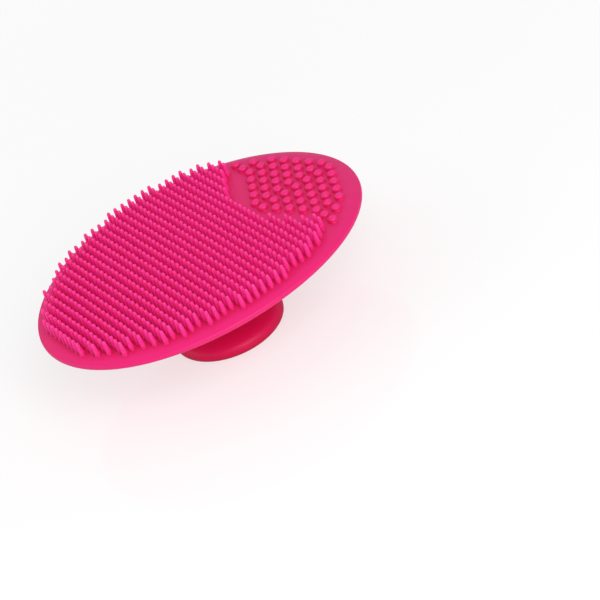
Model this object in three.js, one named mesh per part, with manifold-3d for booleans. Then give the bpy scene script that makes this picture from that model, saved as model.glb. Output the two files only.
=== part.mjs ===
// Facial cleansing brush: an oval silicone pad with bristles and massage nubs on a short flexible neck,
// standing on a trumpet-shaped foot that is both a finger grip and a suction cup.
//
// Frame: millimetres, +Z up the neck, +X towards the nub end of the pad. The origin is the centre of the
// ring on which the foot stands.

import * as THREE from 'three';
import { mergeVertices } from 'three/addons/utils/BufferGeometryUtils.js';
import Module from 'manifold-3d';

const wasm = await Module();
wasm.setup();

// Clearance between neighbouring pieces.
const GAP = 0.3;

// Pad.
const PAD_LENGTH = 80;
const PAD_WIDTH = 64.4;
const RIM_TOP = 21.9; // height of the rim's upper edge over the standing surface, before the pad's bow
const FLANGE_THICKNESS = 2.0;
const BOW_ALONG = 1.5; // how far the pad's two ends hang below its middle
const BOW_ACROSS = 0.5; // how far the pad's two sides hang below its middle
const RIM_ROUNDING_BELOW = 1.2;
const RIM_ROUNDING_ABOVE = 0.8;
const UNDERSIDE_DOME_RADIUS = 27.5;
const UNDERSIDE_DOME_DEPTH = 4.2;
const UNDERSIDE_DOME_SQUARENESS = 0.75; // a smaller value makes a flatter dome with a steeper edge
const UNDERSIDE_DOME_OVERLAP = 0.8; // how far the dome reaches up into the plate
const TAIL_FLEX_X = -23.75; // lines where the two ends of the pad flex
const NOSE_FLEX_X = 24.8;
const FLEX_GAP = 0.55;

// Face sheets: thin layers that carry the bristles and the nubs, let into a shallow recess of the pad.
const RECESS_RADIUS = 38.1; // along X; it is scaled with the pad's outline across Y
const RECESS_DEPTH = 0.6;
const DRAFT = 0.05; // how much narrower the recess is at its floor
const SHEET_THICKNESS = 0.35;
const SHEET_EDGE_CLEARANCE = 0.35;
const ROOT_DEPTH = 0.2; // how far bristles and nubs are sunk into their sheets
const FACE_EDGE_RISE = 0.1; // height of the face's edge over the rim
const FACE_CROWN = 0.15; // further rise of the face towards its middle

// Bristles stand on a square lattice centred on the neck's axis.
const BRISTLE_PITCH = 1.9;
const BRISTLE_HEIGHT = 3.4;
const BRISTLE_RADIUS = 0.62;
const BRISTLE_FIELD = { tail: 37.65, nose: 33.1, side: 29.05 }; // half axes of the field's outline
const CRESCENT_RADIUS = 26.2; // the field ends at this distance from the pad's nub end
const CRESCENT_BAND = 1.6; // bare band between the bristle sheet and the nub sheet
const HORN_END_X = 22.0; // the bristle sheet's two horns reach this far towards the nub end

// Massage nubs: rows on both sides of the pad's long axis, each one nub shorter than the row before it.
const NUB_ROWS = 7;
const NUB_PITCH = 3.06;
const NUB_ROW_SPACING = 3.13;
const NUB_FIRST_X = 17.7;
const NUB_ROW_SHIFT = 1.62; // how much further out each of the first rows starts than the one before it
const NUB_SHIFTED_ROWS = 4;
const NUB_RADIUS = 1.1;
const NUB_HEIGHT = 1.15;
const NUB_SHOULDER = { radius: 0.7, wallHeight: 0.35, height: 0.8 }; // as shares of the radius and height

// Neck, with two ball-shaped flexing places, one over the other.
const NECK_RADIUS = 4.2;
const BALL_RADIUS = 4.4;
const BALL_EDGE_RADIUS = 3.95; // where the facets of a ball start, inside the edge of the neck
const SOCKET_RADIUS = BALL_RADIUS + GAP;
const LOWER_FLEX_Z = 9.4;
const UPPER_FLEX_Z = 12.6;
const NECK_TOP_Z = 18.3;

// Foot.
const FOOT_RADIUS = 13.05;
const STANDING_RADIUS = 12.35;
const LIP_INNER_RADIUS = 10.6;
const LIP_CHAMFER = { inside: 0.6, outside: 0.5, height: 0.45 };
const LIP_WIDEST_Z = 1.2;
const LIP_TOP_Z = 3.4;
const CUP_INNER_RADIUS = 5.9;
const CUP_ROOF_Z = 2.5;
const CUP_ROOF_FALL = 2.0; // how far the hollow underside comes down from its middle to the lip
const FLARE_HEIGHT = 5.4;
const FLARE_CURVE = 0.34; // exponent of the flare: a smaller value hugs the neck and the disc more closely

// Facets round each kind of shape.
const SEGMENTS = { pad: 48, sheet: 32, neck: 20, foot: 32, bristle: 3, nub: 6 };

const bodySilicone = new THREE.MeshStandardMaterial({ color: 0xe02a70, roughness: 0.45, metalness: 0 });
const bristleSilicone = new THREE.MeshStandardMaterial({ color: 0xec3580, roughness: 0.4, metalness: 0 });

// Points along a profile from one radius to another, with the height given by a function of the radius.
function profile(fromRadius, toRadius, steps, height) {
  return Array.from({ length: steps + 1 }, (_, i) => {
    const radius = fromRadius + ((toRadius - fromRadius) * i) / steps;
    return new THREE.Vector2(radius, height(radius));
  });
}

// Points of a circular arc about (0, centreZ) in the profile plane, from one radius to another.
function ball(centreZ, sphereRadius, fromRadius, toRadius, steps) {
  return profile(fromRadius, toRadius, steps, (r) => centreZ + Math.sqrt(sphereRadius ** 2 - r ** 2));
}

const at = (radius, z) => new THREE.Vector2(radius, z);

// Points on a quarter of an ellipse in the profile plane, from its outermost point to its top, or to its
// bottom where up is negative.
function quarter(centreRadius, centreZ, across, up, steps) {
  return Array.from({ length: steps + 1 }, (_, i) => {
    const angle = (i / steps) * (Math.PI / 2);
    return at(centreRadius + across * Math.cos(angle), centreZ + up * Math.sin(angle));
  });
}

// A solid of revolution about +Z. The profile runs anticlockwise, seen with Z up and the axis on the left.
function turned(points, segments) {
  const geometry = new THREE.LatheGeometry(points, segments);
  return geometry.rotateX(Math.PI / 2);
}

// Squeezes a round shape across Y into the pad's oval.
function toOval(geometry) {
  return geometry.scale(1, PAD_WIDTH / PAD_LENGTH, 1);
}

// How far the pad's bow lowers a point.
function bowAt(x, y) {
  return BOW_ALONG * (x / (PAD_LENGTH / 2)) ** 2 + BOW_ACROSS * (y / (PAD_WIDTH / 2)) ** 2;
}

// Lowers every vertex by the pad's bow.
function bowed(geometry) {
  const position = geometry.getAttribute('position');
  for (let i = 0; i < position.count; i += 1) {
    position.setZ(i, position.getZ(i) - bowAt(position.getX(i), position.getY(i)));
  }
  return geometry;
}

// Three.js geometry to a manifold solid and back.
function toSolid(geometry) {
  const bare = geometry.clone();
  bare.deleteAttribute('normal');
  bare.deleteAttribute('uv');
  const merged = mergeVertices(bare, 1e-4);
  const mesh = new wasm.Mesh({
    numProp: 3,
    vertProperties: new Float32Array(merged.getAttribute('position').array),
    triVerts: new Uint32Array(merged.index.array),
  });
  return new wasm.Manifold(mesh);
}

function toGeometry(solid) {
  const mesh = solid.getMesh();
  const geometry = new THREE.BufferGeometry();
  geometry.setAttribute('position', new THREE.BufferAttribute(mesh.vertProperties, 3));
  geometry.setIndex(new THREE.BufferAttribute(mesh.triVerts, 1));
  geometry.computeVertexNormals();
  return geometry;
}

// A box that holds everything between two X values.
function slab(fromX, toX) {
  const box = new THREE.BoxGeometry(toX - fromX, PAD_WIDTH * 2, RIM_TOP * 3);
  return toSolid(box.translate((fromX + toX) / 2, 0, RIM_TOP));
}

const zones = {
  tail: slab(-PAD_LENGTH, TAIL_FLEX_X - FLEX_GAP / 2),
  centre: slab(TAIL_FLEX_X + FLEX_GAP / 2, NOSE_FLEX_X - FLEX_GAP / 2),
  nose: slab(NOSE_FLEX_X + FLEX_GAP / 2, PAD_LENGTH),
};

// Suction lip: the ring on which the foot stands.
function suctionLip() {
  const width = FOOT_RADIUS - LIP_INNER_RADIUS;
  const outline = [
    at(LIP_INNER_RADIUS, LIP_CHAMFER.height),
    at(LIP_INNER_RADIUS + LIP_CHAMFER.inside, 0),
    at(STANDING_RADIUS, 0),
    at(STANDING_RADIUS + LIP_CHAMFER.outside, LIP_CHAMFER.height),
    ...quarter(LIP_INNER_RADIUS, LIP_WIDEST_Z, width, LIP_TOP_Z - LIP_WIDEST_Z, 4),
  ];
  return turned([...outline, outline[0].clone()], SEGMENTS.foot);
}

// Outer surface of the trumpet between the foot's disc and the neck.
function flareZ(radius) {
  const share = (radius - NECK_RADIUS) / (LIP_INNER_RADIUS - NECK_RADIUS);
  return LIP_TOP_Z + FLARE_HEIGHT * (1 - Math.min(1, share) ** FLARE_CURVE);
}

function cupRoofZ(radius) {
  return CUP_ROOF_Z - CUP_ROOF_FALL * (radius / LIP_INNER_RADIUS) ** 2;
}

// Cup wall: the soft ring between the lip and the neck that flattens when the cup is pressed.
function cupWall() {
  const inner = CUP_INNER_RADIUS + GAP;
  const outer = LIP_INNER_RADIUS - GAP;
  const outline = [
    ...profile(inner, outer, 4, cupRoofZ),
    ...profile(outer, inner, 5, flareZ),
  ];
  return turned([...outline, outline[0].clone()], SEGMENTS.foot);
}

// Neck base: the solid heart of the foot, ending in the lower ball.
function neckBase() {
  const ballEdgeZ = LOWER_FLEX_Z + Math.sqrt(BALL_RADIUS ** 2 - NECK_RADIUS ** 2);
  return turned(
    [
      ...profile(0, CUP_INNER_RADIUS, 3, cupRoofZ),
      ...profile(CUP_INNER_RADIUS, NECK_RADIUS, 4, flareZ),
      at(NECK_RADIUS, ballEdgeZ),
      ...ball(LOWER_FLEX_Z, BALL_RADIUS, BALL_EDGE_RADIUS, 0, 5),
    ],
    SEGMENTS.neck,
  );
}

// Neck middle: a short link with a socket below and a ball above.
function neckMiddle() {
  const ballEdgeZ = UPPER_FLEX_Z + Math.sqrt(BALL_RADIUS ** 2 - NECK_RADIUS ** 2);
  return turned(
    [
      ...ball(LOWER_FLEX_Z, SOCKET_RADIUS, 0, NECK_RADIUS, 6),
      at(NECK_RADIUS, ballEdgeZ),
      ...ball(UPPER_FLEX_Z, BALL_RADIUS, BALL_EDGE_RADIUS, 0, 5),
    ],
    SEGMENTS.neck,
  );
}

// Neck top: the socket that the pad stands on, let into the pad's underside.
function neckTop() {
  return turned(
    [
      ...ball(UPPER_FLEX_Z, SOCKET_RADIUS, 0, NECK_RADIUS, 6),
      at(NECK_RADIUS, NECK_TOP_Z),
      at(0, NECK_TOP_Z),
    ],
    SEGMENTS.neck,
  );
}

// Oval plate with a rounded rim and a shallow recess for the face sheets.
function padPlate() {
  const half = PAD_LENGTH / 2;
  const bottom = RIM_TOP - FLANGE_THICKNESS;
  const floor = RIM_TOP - RECESS_DEPTH;
  const under = half - RIM_ROUNDING_BELOW;
  const over = half - RIM_ROUNDING_ABOVE;
  const underEdge = quarter(under, bottom + RIM_ROUNDING_BELOW, RIM_ROUNDING_BELOW, -RIM_ROUNDING_BELOW, 2);
  const overEdge = quarter(over, RIM_TOP - RIM_ROUNDING_ABOVE, RIM_ROUNDING_ABOVE, RIM_ROUNDING_ABOVE, 2);
  const points = [
    ...profile(0, under, 4, () => bottom).slice(0, -1),
    ...underEdge.reverse(),
    ...overEdge.slice(1),
    at(RECESS_RADIUS, RIM_TOP),
    ...profile(RECESS_RADIUS - DRAFT, 0, 4, () => floor),
  ];
  return toOval(turned(points, SEGMENTS.pad));
}

// Shallow round dome that thickens the pad around the neck.
function undersideDome() {
  const flangeBottom = RIM_TOP - FLANGE_THICKNESS;
  const top = flangeBottom + UNDERSIDE_DOME_OVERLAP;
  const belly = (r) => {
    const left = Math.max(0, 1 - (r / UNDERSIDE_DOME_RADIUS) ** 2);
    return flangeBottom - UNDERSIDE_DOME_DEPTH * left ** UNDERSIDE_DOME_SQUARENESS;
  };
  return turned(
    [...profile(0, UNDERSIDE_DOME_RADIUS, 7, belly), ...profile(UNDERSIDE_DOME_RADIUS, 0, 3, () => top)],
    SEGMENTS.pad,
  );
}

// Socket in the pad's underside that the top of the neck fits into.
function neckPocket() {
  const depth = NECK_TOP_Z + GAP;
  const cylinder = new THREE.CylinderGeometry(NECK_RADIUS + GAP, NECK_RADIUS + GAP, depth, SEGMENTS.neck);
  return cylinder.rotateX(Math.PI / 2).translate(0, 0, depth / 2);
}

// Top surface of the face sheets over the pad, before the bow.
function faceZ(radius) {
  return RIM_TOP + FACE_EDGE_RISE + FACE_CROWN * (1 - (radius / RECESS_RADIUS) ** 2);
}

// Oval sheet that fills the pad's recess, with a clearance all round.
function faceSheet() {
  const edge = RECESS_RADIUS - SHEET_EDGE_CLEARANCE;
  const bottom = RIM_TOP - RECESS_DEPTH + GAP;
  const thinEdge = edge - SHEET_THICKNESS / 2;
  const points = [
    ...profile(0, edge, 3, () => bottom),
    ...profile(thinEdge, 0, 3, faceZ),
  ];
  return toOval(turned(points, SEGMENTS.sheet));
}

// Round post about the pad's nub end, for cutting the crescent between bristles and nubs.
function crescentPost(radius) {
  const post = new THREE.CylinderGeometry(radius, radius, RIM_TOP * 3, SEGMENTS.pad);
  return post.rotateX(Math.PI / 2).translate(PAD_LENGTH / 2, 0, RIM_TOP);
}

// Every bristle's place as [x, y].
function bristlePlaces() {
  const reach = Math.ceil(PAD_LENGTH / 2 / BRISTLE_PITCH);
  const steps = Array.from({ length: 2 * reach + 1 }, (_, i) => (i - reach) * BRISTLE_PITCH);
  const all = steps.flatMap((x) => steps.map((y) => [x, y]));
  return all.filter(([x, y]) => {
    const halfLength = x < 0 ? BRISTLE_FIELD.tail : BRISTLE_FIELD.nose;
    const inOutline = (x / halfLength) ** 2 + (y / BRISTLE_FIELD.side) ** 2 < 1;
    const offCrescent = Math.hypot(x - PAD_LENGTH / 2, y) > CRESCENT_RADIUS;
    return inOutline && offCrescent && x < HORN_END_X;
  });
}

// Every nub's place as [x, y]: rows mirrored about the pad's long axis, each one nub shorter than the last.
function nubPlaces() {
  const places = [];
  for (let row = 0; row < NUB_ROWS; row += 1) {
    const y = (row + 0.5) * NUB_ROW_SPACING;
    for (let i = 0; i < NUB_ROWS - row; i += 1) {
      const x = NUB_FIRST_X + Math.min(row, NUB_SHIFTED_ROWS) * NUB_ROW_SHIFT + i * NUB_PITCH;
      places.push([x, y], [x, -y]);
    }
  }
  return places;
}

// Pointed bristle, sunk a little into its sheet.
function bristle() {
  const cone = new THREE.ConeGeometry(BRISTLE_RADIUS, BRISTLE_HEIGHT + ROOT_DEPTH, SEGMENTS.bristle);
  return cone.rotateX(Math.PI / 2).translate(0, 0, (BRISTLE_HEIGHT - ROOT_DEPTH) / 2);
}

// Low round bump, sunk a little into its sheet.
function nub() {
  const points = [
    at(0, -ROOT_DEPTH),
    at(NUB_RADIUS, -ROOT_DEPTH),
    at(NUB_RADIUS, NUB_HEIGHT * NUB_SHOULDER.wallHeight),
    at(NUB_RADIUS * NUB_SHOULDER.radius, NUB_HEIGHT * NUB_SHOULDER.height),
    at(0, NUB_HEIGHT),
  ];
  return turned(points, SEGMENTS.nub);
}

// Copies of a small shape, standing on the face at each place, as one solid.
function planted(makeShape, places) {
  const copies = places.map(([x, y]) => {
    const face = faceZ(Math.hypot(x, (y * PAD_LENGTH) / PAD_WIDTH));
    return toSolid(makeShape().translate(x, y, face - bowAt(x, y)));
  });
  return wasm.Manifold.union(copies);
}

function mesh(name, geometry, material) {
  const made = new THREE.Mesh(geometry, material);
  made.name = name;
  return made;
}

// Foot: lip, soft wall and the heart of the neck.
function makeFoot() {
  const foot = new THREE.Group();
  foot.add(mesh('suction_lip', suctionLip(), bodySilicone));
  foot.add(mesh('cup_wall', cupWall(), bodySilicone));
  foot.add(mesh('neck_base', neckBase(), bodySilicone));
  return foot;
}

function makeNeck() {
  const neck = new THREE.Group();
  neck.add(mesh('neck_middle', neckMiddle(), bodySilicone));
  neck.add(mesh('neck_top', neckTop(), bodySilicone));
  return neck;
}

// Pad: the oval plate and its dome, divided where its two ends flex.
function makePad() {
  const pad = new THREE.Group();
  const plate = toSolid(bowed(padPlate()));
  const dome = toSolid(bowed(undersideDome()));
  const whole = plate.add(dome).subtract(toSolid(neckPocket()));
  for (const [zone, name] of [['tail', 'pad_tail'], ['centre', 'pad_centre'], ['nose', 'pad_nose']]) {
    pad.add(mesh(name, toGeometry(whole.intersect(zones[zone])), bodySilicone));
  }
  return pad;
}

// Face: the bristle sheet and the nub sheet, divided like the pad.
function makeFace() {
  const face = new THREE.Group();
  const sheet = toSolid(bowed(faceSheet()));
  const sheetArc = CRESCENT_RADIUS - BRISTLE_RADIUS;
  const beyondHorns = slab(HORN_END_X, PAD_LENGTH);
  const nubArea = toSolid(crescentPost(sheetArc - CRESCENT_BAND)).add(slab(HORN_END_X + GAP, PAD_LENGTH));
  const bristleSheet = sheet.subtract(toSolid(crescentPost(sheetArc)).add(beyondHorns));
  const nubSheet = sheet.intersect(nubArea);
  const bristles = bristleSheet.add(planted(bristle, bristlePlaces()));
  const nubs = nubSheet.add(planted(nub, nubPlaces()));
  const pieces = [
    ['bristles_tail', bristles, 'tail'],
    ['bristles_centre', bristles, 'centre'],
    ['nubs_inner', nubs, 'centre'],
    ['nubs_nose', nubs, 'nose'],
  ];
  for (const [name, solid, zone] of pieces) {
    face.add(mesh(name, toGeometry(solid.intersect(zones[zone])), bristleSilicone));
  }
  return face;
}

const brush = new THREE.Group();
brush.add(makeFoot(), makeNeck(), makePad(), makeFace());

export default brush;
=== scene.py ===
import math

import bpy
import numpy as np
from mathutils import Matrix, Vector


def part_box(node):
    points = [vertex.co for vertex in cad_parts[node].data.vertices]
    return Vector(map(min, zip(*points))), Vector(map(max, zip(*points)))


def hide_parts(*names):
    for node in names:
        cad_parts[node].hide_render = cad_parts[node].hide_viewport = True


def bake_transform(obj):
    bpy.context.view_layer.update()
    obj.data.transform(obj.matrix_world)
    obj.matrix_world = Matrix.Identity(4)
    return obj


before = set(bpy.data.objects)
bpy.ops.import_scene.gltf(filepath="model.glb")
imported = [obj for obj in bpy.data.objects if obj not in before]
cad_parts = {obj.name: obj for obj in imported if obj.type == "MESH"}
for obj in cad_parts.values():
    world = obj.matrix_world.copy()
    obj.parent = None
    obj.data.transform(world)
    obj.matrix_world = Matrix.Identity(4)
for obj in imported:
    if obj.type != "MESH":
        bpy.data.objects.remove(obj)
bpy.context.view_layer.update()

# An oval silicone cleansing brush: a pad with bristles and massage nubs, on a short neck that flares
# into a suction foot. Shapes are worked out in millimetres and turned into metres when a mesh is made.
# The pad's size, the neck's and the foot's width, the floor and the height of the face come from the
# boxes of the CAD nodes. The finer sizes are named here.

MM = 0.001


# ---------------------------------------------------------------- places and sizes


def low_mm(node):
    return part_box(node)[0] / MM


def high_mm(node):
    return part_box(node)[1] / MM


PAD_HALF_LENGTH = high_mm("pad_nose").x
PAD_HALF_WIDTH = high_mm("pad_centre").y
NECK_RADIUS = high_mm("neck_middle").x
FOOT_RADIUS = high_mm("suction_lip").x
FLOOR_Z = low_mm("suction_lip").z

# Pad. Heights are over the floor and before the bow, which lowers the pad's ends and sides. Radii are along
# X; across Y they shrink with the pad's outline, except the dome's, which is round.
BRISTLE_HEIGHT = 3.4
FACE_CROWN_Z = high_mm("bristles_centre").z - BRISTLE_HEIGHT
FACE_CROWN = 0.15
FACE_EDGE_RADIUS = 38.1
RIM_STEP = 0.1
RIM_TOP = FACE_CROWN_Z - FACE_CROWN - RIM_STEP
FLANGE_THICKNESS = 2.0
BOW_ALONG = 1.5
BOW_ACROSS = 0.5
DOME_RADIUS = 27.5
DOME_DEPTH = 4.2
DOME_SQUARENESS = 0.75
DOME_EDGE_SOFTNESS = 0.003

# Pad's border, from the underside round to the face.
UNDERSIDE_INSET = 1.5
WIDEST_HEIGHT = 1.0
SIDE_DRAFT = 0.04
EDGE_HEIGHT = 0.45
EDGE_WIDTH = 0.51
SHOULDER_FALL = 0.4
BORDER_RADIUS = 36.5

# Bristles stand on a square lattice. Their field ends at an oval outline and at a crescent round the nubs.
BRISTLE_PITCH = 1.9
BRISTLE_RADIUS = 0.62
BRISTLE_TAPER = 0.03
BRISTLE_NECK_RADIUS = 0.41
BRISTLE_TIP_LENGTH = 0.5
BRISTLE_FILLET = 0.3
BRISTLE_FILLET_HEIGHT = 0.6
BRISTLE_ROOT = 0.25
BRISTLE_UNEVENNESS = 0.01
BRISTLE_SEED = 11
FIELD_TAIL = 37.65
FIELD_NOSE = 33.1
FIELD_SIDE = 29.05
FIELD_END_X = 22.0
CRESCENT_RADIUS = 26.2

# Nubs stand in rows on both sides of the long axis, each one nub shorter than the row before it.
NUB_ROWS = 7
NUB_PITCH = 3.06
NUB_ROW_SPACING = 3.13
NUB_FIRST_X = 17.7
NUB_ROW_SHIFT = 1.62
NUB_SHIFTED_ROWS = 4
NUB_RADIUS = 1.12
NUB_TAPER = 0.02
NUB_HEIGHT = 1.15
NUB_WALL_SHARE = 0.32
NUB_FILLET = 0.26
NUB_ROOT = 0.2

# Neck and foot. The crease is where the flare meets the foot's disc.
CUP_TOP_Z = 6.0
NECK_JOIN_Z = 11.8
NECK_FILLET_WIDTH = 0.7
NECK_FILLET_HEIGHT = 0.6
NECK_FILLET_SINK = 0.06
NECK_TOP_SINK = 0.4
FLARE_TOP_Z = 9.8
CREASE = (8.0, 4.1)
CREASE_WIDTH = 0.25
CREASE_FALL = 0.03
LIP_WIDEST_Z = 1.25
STANDING_RADIUS = 12.25
LIP_INNER_RADIUS = 11.3
CUP_EDGE = (10.6, 0.5)
CUP_ROOF_Z = 2.5

# How finely the shapes are divided.
ROUND_STEPS = 128
PAD_STEPS = 256
UNDERSIDE_STEPS = 56
BRISTLE_SIDES = 14
NUB_SIDES = 28


# ---------------------------------------------------------------- shapes


def bezier(start, leaving, arriving, end, steps):
    """Points on a cubic curve in the (radius, height) plane, both ends included. leaving and arriving are
    the pulls on it: how far its two handles lie from start and from end."""
    start, leaving, arriving, end = (np.array(p, float) for p in (start, leaving, arriving, end))
    t = np.linspace(0.0, 1.0, steps + 1)[:, None]
    s = 1.0 - t
    near_start = 3 * s**2 * t * (start + leaving)
    near_end = 3 * s * t**2 * (end + arriving)
    return s**3 * start + near_start + near_end + t**3 * end


def line(start, end, steps=1):
    """Evenly spaced points from start to end, both included."""
    t = np.linspace(0.0, 1.0, steps + 1)[:, None]
    return np.array(start, float) * (1 - t) + np.array(end, float) * t


def joined(*stretches):
    """One outline from stretches that each start where the last one ended."""
    return np.concatenate([stretches[0]] + [stretch[1:] for stretch in stretches[1:]])


def turned_faces(rows, steps, closed=True):
    """Faces of a turned surface, whose vertices are rows of points round the axis, then its lower and its
    upper pole. An open surface has one more point in each row."""
    count = steps if closed else steps + 1
    lower_pole = rows * count
    upper_pole = lower_pole + 1
    last = (rows - 1) * count
    faces = []
    for step in range(steps):
        beside = (step + 1) % count
        faces.append((lower_pole, beside, step))
        for row in range(rows - 1):
            low, high = row * count, (row + 1) * count
            faces.append((low + step, low + beside, high + beside, high + step))
        faces.append((last + step, last + beside, upper_pole))
    return faces


def lathed(outline, steps=ROUND_STEPS):
    """Vertices and faces of a closed solid of revolution. The outline starts and ends on the axis,
    and runs anticlockwise seen with the axis on the left."""
    ring = outline[1:-1]
    angles = np.arange(steps) * 2 * math.pi / steps
    x = ring[:, None, 0] * np.cos(angles)
    y = ring[:, None, 0] * np.sin(angles)
    z = np.repeat(ring[:, None, 1], steps, axis=1)
    around = np.stack([x, y, z], axis=-1).reshape(-1, 3)
    poles = [[0, 0, outline[0, 1]], [0, 0, outline[-1, 1]]]
    return np.concatenate([around, poles]), turned_faces(len(ring), steps)


def copies(vertices, faces, places, lean=None):
    """The shape repeated at each place, sheared sideways by lean times its height above its foot."""
    many = vertices[None, :, :] + places[:, None, :]
    if lean is not None:
        many[:, :, :2] += lean[:, None, :] * np.clip(vertices[None, :, 2:3], 0, None)
    count = len(vertices)
    repeated = [
        tuple(index + count * copy for index in face)
        for copy in range(len(places))
        for face in faces
    ]
    return many.reshape(-1, 3), repeated


def make_piece(name, vertices, faces, material, sharp_degrees=35, rise=None):
    """A smooth-shaded mesh object, from millimetres. rise, one value for each vertex, is kept for the
    material: 0 at the foot of a bristle or nub, 1 at its tip."""
    mesh = bpy.data.meshes.new(name)
    mesh.from_pydata((np.asarray(vertices) * MM).tolist(), [], faces)
    mesh.polygons.foreach_set("use_smooth", [True] * len(mesh.polygons))
    mesh.set_sharp_from_angle(angle=math.radians(sharp_degrees))
    mesh.materials.append(material)
    mesh.validate()
    if rise is not None:
        mesh.attributes.new("rise", "FLOAT", "POINT").data.foreach_set("value", rise)
    piece = bpy.data.objects.new(name, mesh)
    bpy.context.scene.collection.objects.link(piece)
    return piece


# ---------------------------------------------------------------- pad


def bow(x, y):
    """How far the pad's bow lowers a point."""
    return BOW_ALONG * (x / PAD_HALF_LENGTH) ** 2 + BOW_ACROSS * (y / PAD_HALF_WIDTH) ** 2


def face_rise(radius):
    """Height of the crowned face over the rim, before the bow."""
    return RIM_STEP + FACE_CROWN * (1 - (radius / FACE_EDGE_RADIUS) ** 2)


def face_height(x, y):
    """Height of the face that carries the bristles and the nubs."""
    radius = np.hypot(x, y * PAD_HALF_LENGTH / PAD_HALF_WIDTH)
    return RIM_TOP + face_rise(radius) - bow(x, y)


def dome_depth(x, y):
    """How far the round dome under the pad hangs below the flange. Its edge is softened."""
    inside = 1 - (np.hypot(x, y) / DOME_RADIUS) ** 2
    rounded = (inside + np.sqrt(inside**2 + DOME_EDGE_SOFTNESS)) / 2
    return DOME_DEPTH * rounded**DOME_SQUARENESS


def pad_outline():
    """The pad's section: underside from the middle out, rounded side, crisp edge, falling shoulder, face."""
    bottom_z = RIM_TOP - FLANGE_THICKNESS
    edge_z = RIM_TOP - SHOULDER_FALL
    side_radius = PAD_HALF_LENGTH - SIDE_DRAFT
    under = (PAD_HALF_LENGTH - UNDERSIDE_INSET, bottom_z)
    widest = (PAD_HALF_LENGTH, bottom_z + WIDEST_HEIGHT)
    side_top = (side_radius, edge_z - EDGE_HEIGHT)
    edge = (side_radius - EDGE_WIDTH, edge_z)
    border = (BORDER_RADIUS, RIM_TOP + face_rise(BORDER_RADIUS))
    return joined(
        line((0, bottom_z), under, steps=UNDERSIDE_STEPS),
        bezier(under, (0.9, 0), (0, -0.6), widest, steps=8),
        line(widest, side_top, steps=2),
        bezier(side_top, (0, 0.33), (0.31, -0.05), edge, steps=8),
        bezier(edge, (-0.85, 0.4), (1, 0), border, steps=8),
        line(border, (0, FACE_CROWN_Z), steps=24),
    )


def pad_heights(ring, x, y):
    """Heights of the section's points: bowed, crowned on the face and domed underneath."""
    under = (np.arange(len(ring)) < UNDERSIDE_STEPS)[:, None]
    on_face = (ring[:, 0] < BORDER_RADIUS)[:, None] & ~under
    z = np.where(on_face, face_height(x, y), ring[:, None, 1] - bow(x, y))
    return np.where(under, z - dome_depth(x, y), z)


def half_pad(name, first_angle, material):
    """One half of the pad, from one long side round its end to the other, closed by a flat section at
    X = 0."""
    outline = pad_outline()
    ring = outline[1:-1]
    rows = len(ring)
    steps = PAD_STEPS // 2
    angles = first_angle + np.arange(steps + 1) * math.pi / steps
    x = ring[:, None, 0] * np.cos(angles)
    x[:, [0, -1]] = 0.0
    y = ring[:, None, 0] * np.sin(angles) * PAD_HALF_WIDTH / PAD_HALF_LENGTH
    around = np.stack([x, y, pad_heights(ring, x, y)], axis=-1).reshape(-1, 3)
    lower_pole = [0, 0, outline[0, 1] - dome_depth(0.0, 0.0)]
    upper_pole = [0, 0, face_height(0.0, 0.0)]
    vertices = np.concatenate([around, [lower_pole, upper_pole]])

    first_side = [row * (steps + 1) for row in range(rows)]
    second_side = [start + steps for start in first_side]
    section = [len(around)] + first_side + [len(around) + 1] + second_side[::-1]
    faces = turned_faces(rows, steps, closed=False) + [tuple(section)]
    return make_piece(name, vertices, faces, material)


# ---------------------------------------------------------------- bristles and nubs


def bristle_shape():
    """One bristle, standing at the origin: a soft fillet at its foot, a slight taper, a blunt round tip."""
    foot = (BRISTLE_RADIUS + BRISTLE_FILLET, -BRISTLE_ROOT)
    stalk_start = (BRISTLE_RADIUS - BRISTLE_TAPER, BRISTLE_FILLET_HEIGHT)
    tip_start = (BRISTLE_NECK_RADIUS, BRISTLE_HEIGHT - BRISTLE_TIP_LENGTH)
    top = (0, BRISTLE_HEIGHT)
    outline = joined(
        line((0, -BRISTLE_ROOT), foot),
        bezier(foot, (-0.16, 0.25), (0.03, -0.35), stalk_start, steps=5),
        bezier(stalk_start, (-0.03, 0.9), (0.07, -0.7), tip_start, steps=4),
        bezier(tip_start, (-0.06, 0.38), (0.22, 0), top, steps=5),
    )
    return lathed(outline, BRISTLE_SIDES)


def bristle_places():
    reach = math.ceil(PAD_HALF_LENGTH / BRISTLE_PITCH)
    steps = np.arange(-reach, reach + 1) * BRISTLE_PITCH
    x, y = np.meshgrid(steps, steps, indexing="ij")
    half_length = np.where(x < 0, FIELD_TAIL, FIELD_NOSE)
    in_field = (x / half_length) ** 2 + (y / FIELD_SIDE) ** 2 < 1
    off_crescent = np.hypot(x - PAD_HALF_LENGTH, y) > CRESCENT_RADIUS
    kept = in_field & off_crescent & (x < FIELD_END_X)
    x, y = x[kept], y[kept]
    return np.stack([x, y, face_height(x, y)], axis=1)


def make_bristles(material):
    """The whole field. Each bristle stands square to the bowed face, give or take half a degree."""
    places = bristle_places()
    slope_along = 2 * BOW_ALONG * places[:, 0] / PAD_HALF_LENGTH**2
    slope_across = 2 * BOW_ACROSS * places[:, 1] / PAD_HALF_WIDTH**2
    random = np.random.default_rng(BRISTLE_SEED)
    lean = np.stack([slope_along, slope_across], axis=1)
    lean += random.normal(0.0, BRISTLE_UNEVENNESS, lean.shape)
    vertices, faces = bristle_shape()
    rise = np.tile(vertices[:, 2] / BRISTLE_HEIGHT, len(places))
    field = copies(vertices, faces, places, lean)
    return make_piece("bristles", *field, material, sharp_degrees=80, rise=rise)


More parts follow.
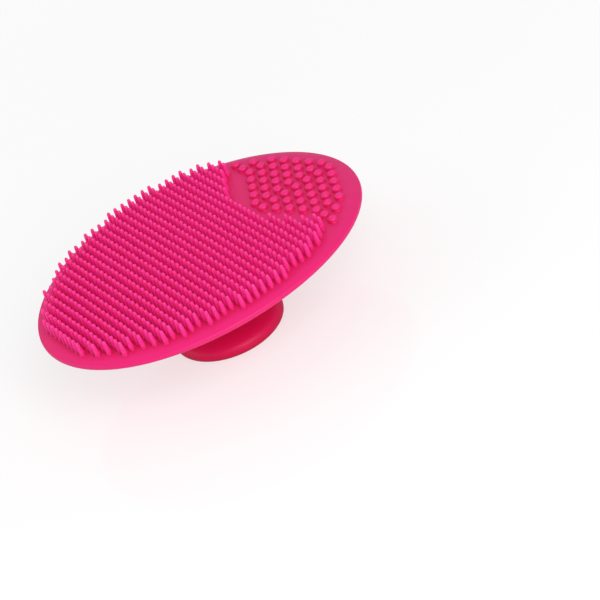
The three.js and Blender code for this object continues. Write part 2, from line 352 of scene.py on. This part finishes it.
def nub_shape():
    """One low round nub with a soft foot, standing at the origin."""
    foot = (NUB_RADIUS + NUB_FILLET, -NUB_ROOT)
    wall_top = (NUB_RADIUS - NUB_TAPER, NUB_HEIGHT * NUB_WALL_SHARE)
    outline = joined(
        line((0, -NUB_ROOT), foot),
        bezier(foot, (-0.14, 0.2), (0.02, -0.288), wall_top, steps=5),
        bezier(wall_top, (-0.04, 0.575), (0.616, 0), (0, NUB_HEIGHT), steps=8),
    )
    return lathed(outline, NUB_SIDES)


def nub_places():
    places = []
    for row in range(NUB_ROWS):
        y = (row + 0.5) * NUB_ROW_SPACING
        start = NUB_FIRST_X + min(row, NUB_SHIFTED_ROWS) * NUB_ROW_SHIFT
        for step in range(NUB_ROWS - row):
            x = start + step * NUB_PITCH
            places += [(x, y, face_height(x, y)), (x, -y, face_height(x, -y))]
    return np.array(places)


def make_nubs(material):
    vertices, faces = nub_shape()
    places = nub_places()
    rise = np.tile(vertices[:, 2] / NUB_HEIGHT, len(places))
    field = copies(vertices, faces, places)
    return make_piece("massage_nubs", *field, material, sharp_degrees=80, rise=rise)


# ---------------------------------------------------------------- neck and foot


def flare_parts():
    """The concave flare from the straight neck down to the crease, divided at the top of the cup: (upper
    part, lower part)."""
    points = bezier((NECK_RADIUS, FLARE_TOP_Z), (0, -2.6), (-2.1, 1.4), CREASE, steps=60)
    above = points[points[:, 1] > CUP_TOP_Z]
    below = points[points[:, 1] <= CUP_TOP_Z]
    way = (above[-1, 1] - CUP_TOP_Z) / (above[-1, 1] - below[0, 1])
    cut = above[-1] * (1 - way) + below[0] * way
    return np.concatenate([above, [cut]]), np.concatenate([[cut], below])


def cup_roof():
    """The hollow underside of the foot, a shallow dish from its middle out to the lip."""
    edge_radius, edge_z = CUP_EDGE
    radii = np.linspace(0, edge_radius, 25)
    return np.stack([radii, CUP_ROOF_Z - (CUP_ROOF_Z - edge_z) * (radii / edge_radius) ** 2], axis=1)


def make_cup(material):
    """Suction cup: concave underneath, a rounded lip, the foot's disc and the lower part of the flare."""
    standing_inside = (LIP_INNER_RADIUS, FLOOR_Z)
    standing_outside = (STANDING_RADIUS, FLOOR_Z)
    widest = (FOOT_RADIUS, LIP_WIDEST_Z)
    disc_end = (CREASE[0] + CREASE_WIDTH, CREASE[1] - CREASE_FALL)
    lower_flare = flare_parts()[1]
    outline = joined(
        cup_roof(),
        bezier(CUP_EDGE, (0.25, -0.1), (-0.35, 0), standing_inside, steps=6),
        line(standing_inside, standing_outside, steps=3),
        bezier(standing_outside, (0.45, 0.03), (0, -0.7), widest, steps=12),
        bezier(widest, (0, 1.95), (2.35, -0.27), disc_end, steps=28),
        bezier(disc_end, (-0.15, 0.02), (0.04, -0.02), CREASE, steps=3),
        lower_flare[::-1],
        line(lower_flare[0], (0, CUP_TOP_Z)),
    )
    return make_piece("suction_cup", *lathed(outline), material)


def make_lower_neck(material):
    """Lower neck: the upper part of the flare and the straight stretch over it."""
    upper_flare = flare_parts()[0]
    join = (NECK_RADIUS, NECK_JOIN_Z)
    outline = joined(
        line((0, CUP_TOP_Z), upper_flare[-1]),
        upper_flare[::-1],
        line((NECK_RADIUS, FLARE_TOP_Z), join, steps=10),
        line(join, (0, NECK_JOIN_Z)),
    )
    return make_piece("neck_lower", *lathed(outline), material)


def make_upper_neck(material):
    """Upper neck, with a small fillet that runs out just inside the pad's dome."""
    dome_z = RIM_TOP - FLANGE_THICKNESS - dome_depth(NECK_RADIUS, 0.0) - bow(NECK_RADIUS, 0.0)
    join = (NECK_RADIUS, NECK_JOIN_Z)
    fillet_start = (NECK_RADIUS, dome_z - NECK_FILLET_HEIGHT)
    fillet_end = (NECK_RADIUS + NECK_FILLET_WIDTH, dome_z + NECK_FILLET_SINK)
    top_edge = (fillet_end[0], dome_z + NECK_TOP_SINK)
    outline = joined(
        line((0, NECK_JOIN_Z), join),
        line(join, fillet_start, steps=18),
        bezier(fillet_start, (0, 0.4), (-0.5, -0.06), fillet_end, steps=8),
        line(fillet_end, top_edge),
        line(top_edge, (0, top_edge[1])),
    )
    return make_piece("neck_upper", *lathed(outline), material)


# ---------------------------------------------------------------- materials

# Each silicone has an open colour and a darker, redder colour. The darker one is painted shade, mixed in
# where surfaces crowd together, and it is also the pigment's random mottle.
PAD_LIT = (0.82, 0.014, 0.18, 1.0)
PAD_SHADE_AND_MOTTLE = (0.64, 0.003, 0.075, 1.0)
# Bristles and nubs: lighter up their stalks and lightest at their tips, as painted light.
BRISTLE_LIT = (0.95, 0.034, 0.3, 1.0)
BRISTLE_PAINTED_SHADE = (0.95, 0.03, 0.33, 1.0)
BRISTLE_TIP_PAINTED_LIGHT = (1.0, 0.06, 0.36, 1.0)
NUB_LIT = (0.87, 0.02, 0.22, 1.0)
NUB_TOP_PAINTED_LIGHT = (0.9, 0.026, 0.25, 1.0)
# Neck and foot: the same silicone painted darker and redder all over, as painted shade from the pad above.
FOOT_PAINTED_PAD_SHADE = (0.71, 0.005, 0.095, 1.0)
FOOT_SHADE_AND_MOTTLE = (0.6, 0.002, 0.05, 1.0)

# How near other surfaces have to be for the painted crevice shade to darken the colour.
CREVICE_SHADE_DISTANCE = 2.5 * MM

# Noise scales, per metre.
PIGMENT_CLOUDS = 90.0
ROUGHNESS_PATCHES = 400.0
SKIN_GRAIN = 5200.0
SKIN_RIPPLES = 260.0
FLOOR_PATCHES = 25.0

SILICONE_SETTINGS = {
    "IOR": 1.42,
    "Specular IOR Level": 0.3,
    "Sheen Weight": 0.04,
    "Sheen Roughness": 0.5,
    "Sheen Tint": (1.0, 0.75, 0.85, 1.0),
    "Subsurface Radius": (1.0, 0.15, 0.35),
    "Subsurface Scale": 0.8 * MM,
}


def new_material(name):
    """A new material: (material, its node tree, its shader, the object's coordinates)."""
    material = bpy.data.materials.new(name)
    material.use_nodes = True
    tree = material.node_tree
    place = tree.nodes.new("ShaderNodeTexCoord").outputs["Object"]
    return material, tree, tree.nodes["Principled BSDF"], place


def add_node(tree, kind, **inputs):
    """A shader node with some of its inputs set; an underscore in a name stands for a space."""
    node = tree.nodes.new(kind)
    for name, value in inputs.items():
        node.inputs[name.replace("_", " ")].default_value = value
    return node


def noise(tree, coordinates, scale, detail=2.0):
    node = add_node(tree, "ShaderNodeTexNoise", Scale=scale, Detail=detail)
    tree.links.new(coordinates, node.inputs["Vector"])
    return node.outputs["Fac"]


def ranged(tree, value, low, high):
    """Maps a value from 0..1 to low..high."""
    node = add_node(tree, "ShaderNodeMapRange", To_Min=low, To_Max=high)
    tree.links.new(value, node.inputs["Value"])
    return node.outputs["Result"]


def share(tree, value, low, high):
    """How far a value is on its way from low to high, kept within 0..1."""
    node = add_node(tree, "ShaderNodeMapRange", From_Min=low, From_Max=high)
    tree.links.new(value, node.inputs["Value"])
    return node.outputs["Result"]


def mixed_colour(tree, factor, first, second):
    """Mixes two colours, each a value or a socket, by a factor socket."""
    node = tree.nodes.new("ShaderNodeMix")
    node.data_type = "RGBA"
    tree.links.new(factor, node.inputs["Factor"])
    for name, colour in (("A", first), ("B", second)):
        socket = [s for s in node.inputs if s.name == name and s.type == "RGBA"][0]
        if isinstance(colour, tuple):
            socket.default_value = colour
        else:
            tree.links.new(colour, socket)
    return [s for s in node.outputs if s.type == "RGBA"][0]


def silicone_colour(tree, place, lit, shade_and_mottle, stalk):
    """Cloudy pigment, with painted shade: darker and redder where surfaces crowd together."""
    crevice_shade = add_node(tree, "ShaderNodeAmbientOcclusion", Distance=CREVICE_SHADE_DISTANCE)
    crevice_shade.samples = 6
    openness = share(tree, crevice_shade.outputs["AO"], low=0.42, high=0.99)
    colour = mixed_colour(tree, openness, shade_and_mottle, lit)
    # Painted light: bristles and nubs go from the pad's colour at their feet to a lighter colour up the
    # stalk and lighter still at the tip.
    if stalk:
        stalk_lit, stalk_painted_shade, tip = stalk
        rise = add_node(tree, "ShaderNodeAttribute")
        rise.attribute_name = "rise"
        height = rise.outputs["Fac"]
        stalk_colour = mixed_colour(tree, openness, stalk_painted_shade, stalk_lit)
        colour = mixed_colour(tree, share(tree, height, low=0.0, high=0.25), colour, stalk_colour)
        colour = mixed_colour(tree, share(tree, height, low=0.55, high=1.1), colour, tip)
    cloud = ranged(tree, noise(tree, place, PIGMENT_CLOUDS, detail=3.0), low=0.0, high=0.16)
    return mixed_colour(tree, cloud, colour, shade_and_mottle)


def silicone_relief(tree, place):
    """The skin's relief: fine moulded grain on slow ripples."""
    grain = add_node(tree, "ShaderNodeBump", Strength=0.22, Distance=0.02 * MM)
    tree.links.new(noise(tree, place, SKIN_GRAIN, detail=3.0), grain.inputs["Height"])
    ripple = add_node(tree, "ShaderNodeBump", Strength=0.25, Distance=0.05 * MM)
    tree.links.new(noise(tree, place, SKIN_RIPPLES), ripple.inputs["Height"])
    tree.links.new(grain.outputs["Normal"], ripple.inputs["Normal"])
    return ripple.outputs["Normal"]


def silicone(name, lit, shade_and_mottle, glow=0.0, stalk=None):
    """Pink moulded silicone with a matt skin. lit is its open colour; the darker colour is painted shade,
    mixed in where surfaces crowd together, and also its random mottle. glow is how much of its light comes
    from under the skin. stalk is for bristles and nubs: the lit, painted-shade and painted tip-light colours
    that they reach above their feet, where they still have the pad's colour."""
    material, tree, shader, place = new_material(name)
    tree.links.new(silicone_colour(tree, place, lit, shade_and_mottle, stalk), shader.inputs["Base Color"])
    patches = noise(tree, place, ROUGHNESS_PATCHES, detail=4.0)
    tree.links.new(ranged(tree, patches, low=0.36, high=0.5), shader.inputs["Roughness"])
    tree.links.new(silicone_relief(tree, place), shader.inputs["Normal"])
    for setting, value in SILICONE_SETTINGS.items():
        shader.inputs[setting].default_value = value
    shader.inputs["Subsurface Weight"].default_value = glow
    return material


def pale_floor():
    """White satin floor. It also shines a little towards the camera, so that it stays pale in the shade,
    and it fades to plain white further out, so that little of a horizon shows."""
    material, tree, shader, place = new_material("studio_floor")
    links = tree.links
    shader.inputs["Base Color"].default_value = (0.93, 0.93, 0.93, 1.0)
    shader.inputs["Specular IOR Level"].default_value = 0.9
    roughness = ranged(tree, noise(tree, place, FLOOR_PATCHES), low=0.1, high=0.16)
    links.new(roughness, shader.inputs["Roughness"])
    shine = add_node(tree, "ShaderNodeEmission", Color=(1.0, 1.0, 1.0, 1.0), Strength=1.12)
    distance = tree.nodes.new("ShaderNodeVectorMath")
    distance.operation = "LENGTH"
    links.new(place, distance.inputs[0])
    far = share(tree, distance.outputs["Value"], low=0.1, high=0.8)
    rays = tree.nodes.new("ShaderNodeLightPath")
    seen_shine = tree.nodes.new("ShaderNodeMath")
    seen_shine.operation = "MULTIPLY"
    links.new(rays.outputs["Is Camera Ray"], seen_shine.inputs[0])
    links.new(ranged(tree, far, low=0.55, high=1.0), seen_shine.inputs[1])
    both = tree.nodes.new("ShaderNodeMixShader")
    links.new(seen_shine.outputs["Value"], both.inputs["Fac"])
    links.new(shader.outputs["BSDF"], both.inputs[1])
    links.new(shine.outputs["Emission"], both.inputs[2])
    links.new(both.outputs["Shader"], tree.nodes["Material Output"].inputs["Surface"])
    return material


# ---------------------------------------------------------------- the object

pad_silicone = silicone("pad_silicone", PAD_LIT, PAD_SHADE_AND_MOTTLE)
# The neck and the foot wear painted shade from the pad above them.
foot_silicone_painted_shade = silicone("foot_silicone_painted_shade", FOOT_PAINTED_PAD_SHADE, FOOT_SHADE_AND_MOTTLE)
bristle_silicone = silicone(
    "bristle_silicone", PAD_LIT, PAD_SHADE_AND_MOTTLE, glow=0.5, stalk=(BRISTLE_LIT, BRISTLE_PAINTED_SHADE, BRISTLE_TIP_PAINTED_LIGHT)
)
nub_silicone = silicone("nub_silicone", PAD_LIT, PAD_SHADE_AND_MOTTLE, glow=0.2, stalk=(NUB_LIT, PAD_SHADE_AND_MOTTLE, NUB_TOP_PAINTED_LIGHT))

pad_tail_half = half_pad("pad_tail_half", math.pi / 2, pad_silicone)
pad_nose_half = half_pad("pad_nose_half", -math.pi / 2, pad_silicone)
bristles = make_bristles(bristle_silicone)
nubs = make_nubs(nub_silicone)
neck_upper = make_upper_neck(foot_silicone_painted_shade)
neck_lower = make_lower_neck(foot_silicone_painted_shade)
cup = make_cup(foot_silicone_painted_shade)


def blend_along_x(piece):
    """Bakes the piece's transform into its mesh."""
    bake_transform(piece)


def blend_along_z(piece):
    """Bakes the piece's transform into its mesh."""
    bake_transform(piece)


blend_along_x(pad_tail_half)
blend_along_x(pad_nose_half)
blend_along_x(bristles)
blend_along_x(nubs)
blend_along_z(neck_upper)
blend_along_z(neck_lower)
blend_along_z(cup)

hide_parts("pad_tail", "pad_centre")
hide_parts("pad_nose", "pad_centre")
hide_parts("bristles_tail", "bristles_centre")
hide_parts("nubs_inner", "nubs_nose")
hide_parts("neck_top", "neck_middle")
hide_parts("neck_middle", "neck_base")
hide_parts("suction_lip", "cup_wall", "neck_base")


# ---------------------------------------------------------------- studio


def make_floor():
    """A flat square floor, reaching 3 metres to each side."""
    reach = 3.0
    mesh = bpy.data.meshes.new("floor")
    corners = [(-reach, -reach, 0), (reach, -reach, 0), (reach, reach, 0), (-reach, reach, 0)]
    mesh.from_pydata(corners, [], [(0, 1, 2, 3)])
    mesh.materials.append(pale_floor())
    floor = bpy.data.objects.new("floor", mesh)
    floor.location.z = FLOOR_Z * MM
    bpy.context.scene.collection.objects.link(floor)


def make_world(seen, lighting):
    """Plain white surroundings: one brightness for the camera, another for the light that they give."""
    world = bpy.data.worlds.new("studio")
    world.use_nodes = True
    tree = world.node_tree
    rays = tree.nodes.new("ShaderNodeLightPath")
    strength = ranged(tree, rays.outputs["Is Camera Ray"], lighting, seen)
    background = tree.nodes["Background"]
    background.inputs["Color"].default_value = (1.0, 1.0, 1.0, 1.0)
    tree.links.new(strength, background.inputs["Strength"])
    bpy.context.scene.world = world


def direction(azimuth, elevation):
    """Unit vector from the object towards a place in the studio. Azimuth 0 is towards -Y."""
    a = math.radians(azimuth)
    e = math.radians(elevation)
    return Vector((math.sin(a) * math.cos(e), -math.cos(a) * math.cos(e), math.sin(e)))


def make_softbox(name, azimuth, elevation, distance, size, power):
    """A square lamp that faces the object. Distance and size are in metres."""
    light = bpy.data.lights.new(name, "AREA")
    light.shape = "SQUARE"
    light.size = size
    light.energy = power
    softbox = bpy.data.objects.new(name, light)
    away = direction(azimuth, elevation)
    softbox.location = away * distance
    softbox.rotation_mode = "QUATERNION"
    softbox.rotation_quaternion = away.to_track_quat("Z", "Y")
    bpy.context.scene.collection.objects.link(softbox)


def make_camera(azimuth, elevation, roll, distance, aim, lens):
    """Camera on a sphere about its aim point, rolled about its own line of sight. Distance and aim are in
    millimetres, and so is the lens, for a 36 mm sensor."""
    back = direction(azimuth, elevation)
    level_right = Vector((0, 0, 1)).cross(back).normalized()
    level_up = back.cross(level_right)
    r = math.radians(roll)
    up = level_up * math.cos(r) + level_right * math.sin(r)
    right = level_right * math.cos(r) - level_up * math.sin(r)
    data = bpy.data.cameras.new("camera")
    data.lens = lens
    data.sensor_width = 36.0
    camera = bpy.data.objects.new("camera", data)
    turn = Matrix((right, up, back)).transposed().to_4x4()
    camera.matrix_world = Matrix.Translation((Vector(aim) + back * distance) * MM) @ turn
    bpy.context.scene.collection.objects.link(camera)
    bpy.context.scene.camera = camera


make_floor()
make_world(seen=1.0, lighting=0.52)
make_softbox("key", azimuth=-4, elevation=37, distance=0.7, size=0.45, power=3.2)
make_softbox("fill", azimuth=240, elevation=25, distance=0.7, size=0.6, power=1.0)
make_camera(
    azimuth=-21.475,
    elevation=32.723,
    roll=22.712,
    distance=683.8,
    aim=(15.4, -6.44, -0.56),
    lens=183.46,
)
# The standard view keeps the pink as saturated as it is mixed.
bpy.context.scene.view_settings.view_transform = "Standard"
